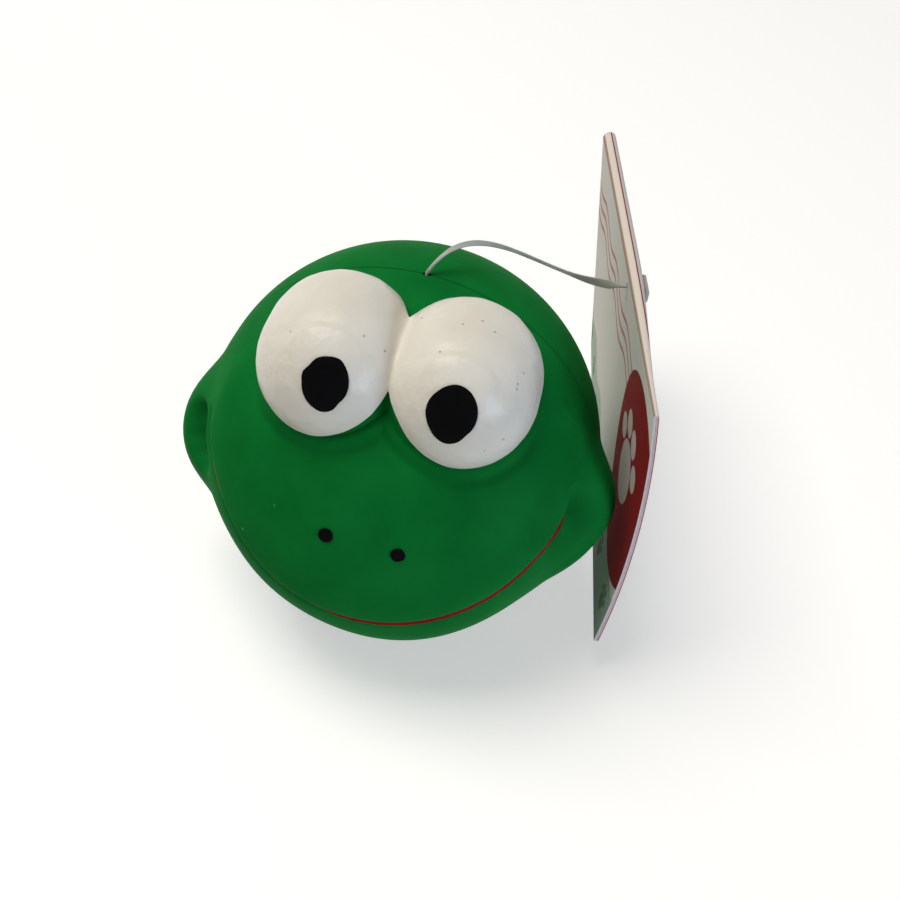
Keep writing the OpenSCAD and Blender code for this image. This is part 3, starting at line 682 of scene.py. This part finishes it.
# The rooms for the squeaker and for the pin's bar: radius, height, and height of the middle.
fill_rooms = ((6.4 * mm, 19.4 * mm, 9.7 * mm), (5.6 * mm, 8 * mm, 57.4 * mm))
bpy.ops.object.select_all(action="DESELECT")
bpy.ops.mesh.primitive_uv_sphere_add(segments=128, ring_count=72, radius=fill_r)
filling = bpy.context.object
filling.name = "fleece_filling"
for v in filling.data.vertices:
    p = v.co / mm
    tuft = math.sin(0.55 * p.x + 1) * math.sin(0.6 * p.y) * math.sin(0.5 * p.z + 2)
    curl = math.sin(1.7 * p.x + 0.8 * p.y) * math.sin(1.5 * p.z - p.y)
    v.co *= 1 - 0.018 * (1 + tuft) - 0.006 * (1 + curl)
    v.co += centre
bpy.ops.object.mode_set(mode="EDIT")
bpy.ops.mesh.select_all(action="SELECT")
bpy.ops.mesh.bisect(plane_co=(0, 0, base_wall + 2 * free_gap), plane_no=(0, 0, -1), use_fill=True,
                    clear_outer=True, threshold=0.001 * mm)
bpy.ops.object.mode_set(mode="OBJECT")
for room_r, room_h, room_z in fill_rooms:
    bpy.ops.object.select_all(action="DESELECT")
    bpy.ops.mesh.primitive_cylinder_add(vertices=64, radius=room_r, depth=room_h, location=(0, 0, room_z))
    cut(filling, bpy.context.object)
bpy.ops.object.shade_smooth_by_angle(angle=math.radians(50))
fleece, tree, shader, place = new_material("polyester fleece")
# Crimped fibres a few hundredths of a millimetre thick, drawn coarser here so that they show.
fibre = add(tree, "ShaderNodeTexNoise", Vector=place, Scale=1 / (0.8 * mm), Detail=6.0, Distortion=2.0)
tone = add(tree, "ShaderNodeMix", {"data_type": "RGBA"}, Factor=fibre.outputs["Fac"], A=linear("#d9d8d3"),
           B=linear("#f1f0ec"))
bump = add(tree, "ShaderNodeBump", Height=fibre.outputs["Fac"], Strength=0.6, Distance=0.5 * mm)
put(shader, Base_Color=tone.outputs["Result"], Roughness=0.95, Sheen_Weight=0.3, Normal=bump.outputs["Normal"])
filling.data.materials.append(fleece)
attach(filling, "ball")
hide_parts("fibre_filling")

# The squeaker: a tube with a flange and a cap, two halves of a reed plug in it, and the reed between them.
# These are small mouldings and a strip of film whose shapes the CAD nodes give, so they keep them.
for title, names, dark, pale, rough_from, rough_to in (
        ("moulded polyethylene", ("squeaker_body", "squeaker_cap"), "#dcdbd4", "#e8e7e0", 0.38, 0.5),
        ("moulded amber ABS", ("reed_seat", "reed_wedge"), "#b8822e", "#c9923a", 0.3, 0.4),
        ("polyester film", ("reed",), "#b9c3cb", "#c7d0d7", 0.12, 0.2)):
    plastic, tree, shader, place = new_material(title)
    # Moulded plastic and film are even in colour, with a faint cloud from the flow and a fine matt texture.
    flow = add(tree, "ShaderNodeTexNoise", Vector=place, Scale=1 / (3 * mm), Detail=2.0)
    fine = add(tree, "ShaderNodeTexNoise", Vector=place, Scale=1 / (0.3 * mm), Detail=2.0)
    tone = add(tree, "ShaderNodeMix", {"data_type": "RGBA"}, Factor=flow.outputs["Fac"], A=linear(dark),
               B=linear(pale))
    rough = add(tree, "ShaderNodeMapRange", Value=fine.outputs["Fac"], To_Min=rough_from, To_Max=rough_to)
    put(shader, Base_Color=tone.outputs["Result"], Roughness=rough.outputs["Result"])
    for name in names:
        nodes[name].data.materials.clear()
        nodes[name].data.materials.append(plastic)

# The tag pin: a clear nylon fastener shot through the crown, with a bar inside, a flat filament that springs
# over in an arch and twists on the way, and a paddle outside the tag. Its parts are swept or bevelled and joined.
tag_turn = math.radians(11.4)
tag_lean = math.radians(0.8)
tag_w, tag_h, card_t = 79 * mm, 44.6 * mm, 0.34 * mm
card_bow, card_flare = 1.65 * mm, 6 * mm
fold_mid, fold_flat, leaf_gap, fold_run = 0.95 * mm, 0.2 * mm, 0.4 * mm, 6 * mm
hole_drop, hole_side = 2.2 * mm, 4.6 * mm
# The tag's own frame: the hole is at the start, X points away from the head, Y to the back, Z up the card.
tag_frame = (Matrix.Translation(centre) @ Matrix.Rotation(tag_turn, 4, "Z")
             @ Matrix.Rotation(-tag_lean, 4, "Y") @ Matrix.Translation((32.3 * mm, 16.3 * mm, 20.5 * mm)))


def fold_radius(y):
    """The fold's middle radius: round from the hole to the back, and pressed flat towards the front edge."""
    k = 0.5 + (y - hole_side) / tag_w
    return fold_flat + (fold_mid - fold_flat) * ease(k / 0.5)


def leaf_out(y, s, front):
    """How far a leaf's middle lies out from the fold's inner side: y along the card, s down from the fold."""
    k = 0.5 + (y - hole_side) / tag_w
    t = s / tag_h
    apart = leaf_gap + (2 * fold_radius(y) - leaf_gap) * np.exp(-s / fold_run) if front else 0
    return 4 * t * (1 - t) * card_bow * (1 - k) + card_flare * k * t + apart


bar_len, bar_d = 9 * mm, 1.2 * mm
bar_z = centre.z + math.sqrt((ball_r - skin_wall) ** 2 - bar_len ** 2 / 4) - free_gap - bar_d / 2
filament_d, filament_t = 0.52 * mm, 0.36 * mm
# How wide the flat is along the arch: share of the way, and mm.
filament_w = ((0, 0.55), (0.15, 0.75), (0.3, 0.85), (0.5, 0.65), (0.75, 0.68), (0.88, 1.25), (1, 1.45))
paddle_size = (0.7 * mm, 5 * mm, 2 * mm)
hole_out = float(leaf_out(0, hole_drop, False))
paddle_out = hole_out + 2.2 * mm
arch_start = centre + Vector((0, 0, ball_r + 0.2 * mm))
# The arch ends short of the tag's hole, leaves the crown steeply, and comes in straight to the tag.
arch_stop, arch_rise, arch_run = 1.2 * mm, 12.6 * mm, 14.2 * mm
arch_end = tag_frame @ Vector((hole_out - arch_stop, 0, 0))
to_tag = Vector((arch_end.x - arch_start.x, arch_end.y - arch_start.y, 0)).normalized()
arch_lean = math.radians(31)
arch_up = arch_start + arch_rise * (math.cos(arch_lean) * Vector((0, 0, 1)) + math.sin(arch_lean) * to_tag)
arch_in = tag_frame @ Vector((hole_out - arch_run, 0, 0))
arch_across = to_tag.cross(Vector((0, 0, 1)))
# The twist of the flat along the arch: share of the way, and degrees.
twist = ((0, 208), (0.1, 190), (0.2, 146), (0.28, 125), (0.36, 106), (0.5, 68), (0.65, 50), (0.8, 62),
         (0.9, 96), (1, 118))


def arch(t):
    """A point of the filament's arch from the crown to the tag, for a share of the way."""
    u = 1 - t
    return u ** 3 * arch_start + 3 * t * u * u * arch_up + 3 * t * t * u * arch_in + t ** 3 * arch_end


path = []
for i in range(5):
    path.append((Vector((0, 0, bar_z)).lerp(arch_start, i / 5), Vector((0, 0, 1)), 0, 0))
for i in range(65):
    t = i / 64
    path.append((arch(t), (arch(t + 0.005) - arch(t - 0.005)).normalized(), t,
                 float(ease(min(t / 0.07, (1 - t) / 0.05)))))
for i in range(1, 6):
    path.append((arch_end.lerp(tag_frame @ Vector((paddle_out + paddle_size[0] / 2, 0, 0)), i / 5),
                 tag_frame.col[0].to_3d(), 1, 0))
around = 16
bpy.ops.object.select_all(action="DESELECT")
bpy.ops.mesh.primitive_grid_add(x_subdivisions=len(path) - 1, y_subdivisions=around, size=1)
pin = bpy.context.object
pin.name = "tag_fastener"
for v in pin.data.vertices:
    spot, along, t, flat = path[round((v.co.x + 0.5) * (len(path) - 1))]
    side = (arch_across - along * arch_across.dot(along)).normalized()
    turn = math.radians(np.interp(t, *np.array(twist).T))
    wide = side * math.cos(turn) + side.cross(along) * math.sin(turn)
    at = math.tau * (v.co.y + 0.5)
    power = 1 - 0.4 * flat
    width = float(np.interp(t, *np.array(filament_w).T)) * mm
    # The section goes from round at the ends to a flat with rounded corners.
    u, w = (math.copysign(abs(c) ** power, c) * (filament_d + (size - filament_d) * flat) / 2
            for c, size in ((math.cos(at), width), (math.sin(at), filament_t)))
    v.co = spot + wide * u + wide.cross(along) * w
bpy.ops.object.mode_set(mode="EDIT")
bpy.ops.mesh.select_all(action="SELECT")
bpy.ops.mesh.remove_doubles(threshold=0.003 * mm)
bpy.ops.mesh.fill_holes(sides=0)
bpy.ops.object.mode_set(mode="OBJECT")
face_outward()


def rounded(piece, width, segments):
    """Rounds a piece's sharp edges."""
    edge = piece.modifiers.new("round", "BEVEL")
    edge.width = width
    edge.segments = segments
    edge.limit_method = "ANGLE"
    bpy.ops.object.modifier_apply(modifier=edge.name)


bpy.ops.object.select_all(action="DESELECT")
bpy.ops.mesh.primitive_cylinder_add(vertices=32, radius=bar_d / 2, depth=bar_len, location=(0, 0, bar_z),
                                    rotation=(math.pi / 2, 0, 0))
rounded(bpy.context.object, 0.25 * mm, 3)
cut(pin, bpy.context.object, "UNION")
bpy.ops.object.select_all(action="DESELECT")
bpy.ops.mesh.primitive_cube_add(size=1)
paddle = bpy.context.object
bpy.ops.object.mode_set(mode="EDIT")
bpy.ops.transform.resize(value=paddle_size)
bpy.ops.object.mode_set(mode="OBJECT")
rounded(paddle, 0.25 * mm, 4)
paddle.data.transform(tag_frame @ Matrix.Translation((paddle_out + paddle_size[0] / 2, 0, 0)))
cut(pin, paddle, "UNION")
bpy.ops.object.shade_smooth_by_angle(angle=math.radians(40))
nylon, tree, shader, place = new_material("drawn clear nylon")
# Drawn nylon is milky and lets some light through; drawing it leaves faint streaks and a soft gloss.
streak = add(tree, "ShaderNodeTexNoise", Vector=place, Scale=1 / (0.7 * mm), Detail=3.0)
tone = add(tree, "ShaderNodeMix", {"data_type": "RGBA"}, Factor=streak.outputs["Fac"], A=linear("#b4b9b0"),
           B=linear("#cdd1c9"))
rough = add(tree, "ShaderNodeMapRange", Value=streak.outputs["Fac"], To_Min=0.28, To_Max=0.42)
put(shader, Base_Color=tone.outputs["Result"], Roughness=rough.outputs["Result"], IOR=1.53,
    Transmission_Weight=0.35)
pin.data.materials.append(nylon)
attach(pin, "pin")
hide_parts("tag_pin")

# The swing tag: one strip of coated card, printed on its outside, folded over at the top and hung on the pin.
# Each leaf is a grid laid to the card's bow and twist; the one beside the head carries the round fold.
fold_from, fold_to, fold_steps, leaf_steps = 20, 180, 16, 44
fold_rows = [("fold", math.radians(fold_from + (fold_to - fold_from) * i / fold_steps))
             for i in range(fold_steps)]
leaf_rows = [("leaf", tag_h * i / leaf_steps) for i in range(leaf_steps + 1)]


def leaf(side, card_rows, hole_d):
    """One leaf of the card, with its hole; its materials are the outside, the inside and the cut edge."""
    front = side == "front"
    bpy.ops.object.select_all(action="DESELECT")
    bpy.ops.mesh.primitive_grid_add(x_subdivisions=56, y_subdivisions=len(card_rows) - 1, size=1)
    card = bpy.context.object
    card.name = f"card_{side}"
    for v in card.data.vertices:
        y = hole_side + tag_w * v.co.x
        kind, at = card_rows[round((0.5 - v.co.y) * (len(card_rows) - 1))]
        if kind == "fold":
            r = float(fold_radius(y))
            spot = Vector((r + r * math.cos(at), y, hole_drop + r * math.sin(at)))
        else:
            spot = Vector((float(leaf_out(y, at, front)), y, hole_drop - at))
        v.co = tag_frame @ spot
    card.data.update()
    outside = tag_frame.col[0].to_3d() * (1 if front else -1)
    if sum(p.normal.dot(outside) * p.area for p in card.data.polygons) < 0:
        card.data.flip_normals()
    wall = card.modifiers.new("card", "SOLIDIFY")
    wall.thickness = card_t
    wall.offset = 0
    wall.material_offset = 1
    wall.material_offset_rim = 2
    for material in (print_out if front else print_in, plain_card, inked_edge if front else cut_edge):
        card.data.materials.append(material)
    bpy.ops.object.modifier_apply(modifier=wall.name)
    bpy.ops.object.select_all(action="DESELECT")
    bpy.ops.mesh.primitive_cylinder_add(vertices=32, radius=hole_d / 2, depth=6 * mm)
    punch = bpy.context.object
    punch.data.materials.append(cut_edge)
    punch.data.transform(tag_frame @ Matrix.Translation((fold_mid, 0, 0))
                         @ Matrix.Rotation(math.pi / 2, 4, "Y"))
    cut(card, punch)
    if not front:
        # The pin tore the card a little under the hole.
        bpy.ops.object.select_all(action="DESELECT")
        bpy.ops.mesh.primitive_cube_add(size=1)
        tear = bpy.context.object
        tear.data.materials.append(cut_edge)
        tear.data.transform(tag_frame @ Matrix.Translation((0, -0.5 * mm, -1.5 * mm))
                            @ Matrix.Rotation(math.radians(14), 4, "X")
                            @ Matrix.Diagonal((1.2 * mm, 0.22 * mm, 2.2 * mm, 1)))
        cut(card, tear)
    bpy.ops.object.shade_smooth_by_angle(angle=math.radians(40))
    # Which points lie on the card's outer side, for the ink that shows at the edge.
    to_card = tag_frame.inverted()
    through = card.data.attributes.new("outer", "FLOAT", "POINT")
    for v, value in zip(card.data.vertices, through.data):
        x, y, z = to_card @ v.co
        value.value = float(x > leaf_out(y, max(hole_drop - z, 0), front))
    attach(card, f"tag_{side}")
    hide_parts(f"tag_{side}_leaf")


def card_places(tree, place):
    """The place on the card in mm: out from the fold, along the card from the hole, and up from it."""
    spot = add(tree, "ShaderNodeMapping", {"vector_type": "TEXTURE"}, Vector=place,
               Location=tag_frame.translation, Rotation=(0, -tag_lean, tag_turn), Scale=(mm, mm, mm))
    apart = add(tree, "ShaderNodeSeparateXYZ", Vector=spot.outputs[0])
    flat = add(tree, "ShaderNodeCombineXYZ", Y=apart.outputs["Y"], Z=apart.outputs["Z"])
    return apart, flat.outputs[0]


def inked(tree, under, ink, where):
    """One ink printed over what is under it, where a socket says."""
    return add(tree, "ShaderNodeMix", {"data_type": "RGBA"}, Factor=where, A=under,
               B=linear(ink)).outputs["Result"]


def paw(tree, flat, y, z, size):
    """A paw of a pad and four toes, as a socket that is 1 in it: y and z of its pad, and its size, in mm."""
    inside = None
    for dy, dz, r in ((0, 0, 0.36), (-0.46, 0.28, 0.15), (-0.18, 0.52, 0.16), (0.18, 0.52, 0.16),
                      (0.46, 0.28, 0.15)):
        away = add(tree, "ShaderNodeVectorMath", {"operation": "DISTANCE"}, _0=flat,
                   _1=(0, y + dy * size, z + dz * size))
        pad = add(tree, "ShaderNodeMapRange", Value=away.outputs["Value"], From_Min=r * size + 0.1,
                  From_Max=r * size - 0.1).outputs["Result"]
        inside = pad if inside is None else add(tree, "ShaderNodeMath", {"operation": "MAXIMUM"}, _0=inside,
                                                _1=pad).outputs[0]
    return inside


def stripe(tree, socket, low, high):
    """1 between two values of a socket, and 0 outside them, with a soft edge of 0.1 mm."""
    soft = 0.05
    over = add(tree, "ShaderNodeMapRange", Value=socket, From_Min=low - soft, From_Max=low + soft)
    below = add(tree, "ShaderNodeMapRange", Value=socket, From_Min=high + soft, From_Max=high - soft)
    return add(tree, "ShaderNodeMath", {"operation": "MULTIPLY"}, _0=over.outputs["Result"],
               _1=below.outputs["Result"]).outputs[0]


def printed_card(name, ground, disc, disc_r, paw_y, stripes, front):
    """Coated card with a plain print: a red disc with a paw, stripes, and a wavy strip with small paws."""
    material, tree, shader, place = new_material(name)
    # Coated card is smooth and satin; its fibres show as a faint mottle, and the ink is a little uneven.
    apart, flat = card_places(tree, place)
    fibre = add(tree, "ShaderNodeTexNoise", Vector=place, Scale=1 / (0.8 * mm), Detail=4.0)
    colour = add(tree, "ShaderNodeMix", {"data_type": "RGBA"}, Factor=fibre.outputs["Fac"],
                 A=linear(ground[0]), B=linear(ground[1])).outputs["Result"]
    along = add(tree, "ShaderNodeMath", {"operation": "MULTIPLY"}, _0=apart.outputs["Y"], _1=0.35)
    wave = add(tree, "ShaderNodeMath", {"operation": "SINE"}, _0=along.outputs[0])
    height = add(tree, "ShaderNodeMath", {"operation": "ADD"}, _0=apart.outputs["Z"],
                 _1=wave.outputs[0]).outputs[0]
    for low, high in stripes:
        colour = inked(tree, colour, "#c98f8b", stripe(tree, height, low, high))
    colour = inked(tree, colour, "#b9cabd", stripe(tree, height, -60, -33))
    for y in range(-30, 44, 12):
        colour = inked(tree, colour, "#7c9483", paw(tree, flat, y, -38.4, 4))
    away = add(tree, "ShaderNodeVectorMath", {"operation": "DISTANCE"}, _0=flat, _1=(0, *disc))
    colour = inked(tree, colour, "#8d1a18", stripe(tree, away.outputs["Value"], -1, disc_r))
    colour = inked(tree, colour, "#d9cfc8", paw(tree, flat, paw_y, disc[1] - 2.5, disc_r * 0.85))
    if front:
        colour = inked(tree, colour, "#a3343a", stripe(tree, apart.outputs["Y"], -60, -33.8))
    else:
        # The round fold: a brown line of painted shade at the crease's inner edge, the bare cream of the crease,
        # a red line, and pale card past it.
        on_fold = stripe(tree, apart.outputs["Z"], 2.0, 9)
        for ink, low, high in (("#b09488", -2, 0.02), ("#ece3d8", 0.02, 0.95), ("#8d2a2a", 0.95, 1.2),
                               ("#ddd6d4", 1.2, 4)):
            here = add(tree, "ShaderNodeMath", {"operation": "MULTIPLY"}, _0=on_fold,
                       _1=stripe(tree, apart.outputs["X"], low, high)).outputs[0]
            colour = inked(tree, colour, ink, here)
    rough = add(tree, "ShaderNodeMapRange", Value=fibre.outputs["Fac"], To_Min=0.6, To_Max=0.75)
    bump = add(tree, "ShaderNodeBump", Height=fibre.outputs["Fac"], Strength=0.05, Distance=0.1 * mm)
    put(shader, Base_Color=colour, Roughness=rough.outputs["Result"], Normal=bump.outputs["Normal"],
        Specular_IOR_Level=0.03)
    return material


print_in = printed_card("printed card by the head", ("#e6e3dd", "#f0eee9"), (-25, -17.8), 16.5, -20,
                        ((-6.2, -5.4), (-9.0, -8.2), (-11.8, -11.0)), False)
print_out = printed_card("printed card outside", ("#dcd9d3", "#e6e3de"), (6, -19), 13, 6, ((-3.4, -2.8),),
                         True)
plain_card, tree, shader, place = new_material("bare card")
# The unprinted side is uncoated, a warm grey-white with visible fibres.
fibre = add(tree, "ShaderNodeTexNoise", Vector=place, Scale=1 / (0.6 * mm), Detail=5.0)
tone = add(tree, "ShaderNodeMix", {"data_type": "RGBA"}, Factor=fibre.outputs["Fac"], A=linear("#d2cec6"),
           B=linear("#e3dfd8"))
put(shader, Base_Color=tone.outputs["Result"], Roughness=0.8)


def card_edge(name, bordered):
    """The card's cut edge, with the ink of a border on its outer corner or without it."""
    material, tree, shader, place = new_material(name)
    # A cut edge shows the card's layers as fine lines, a cold white against the print.
    layers = add(tree, "ShaderNodeTexNoise", Vector=place, Scale=1 / (0.25 * mm), Detail=3.0)
    colour = add(tree, "ShaderNodeMix", {"data_type": "RGBA"}, Factor=layers.outputs["Fac"],
                 A=linear("#dfd2d6"), B=linear("#f1e8eb")).outputs["Result"]
    if bordered:
        through = add(tree, "ShaderNodeAttribute", {"attribute_name": "outer"})
        outside = add(tree, "ShaderNodeMapRange", Value=through.outputs["Fac"], From_Min=0.42, From_Max=0.55)
        colour = inked(tree, colour, "#c2606a", outside.outputs["Result"])
    put(shader, Base_Color=colour, Roughness=0.8)
    return material


cut_edge = card_edge("cut edge of card", False)
inked_edge = card_edge("cut edge of card with ink", True)
leaf("back", fold_rows + leaf_rows, 1.5 * mm)
leaf("front", leaf_rows, 2.1 * mm)
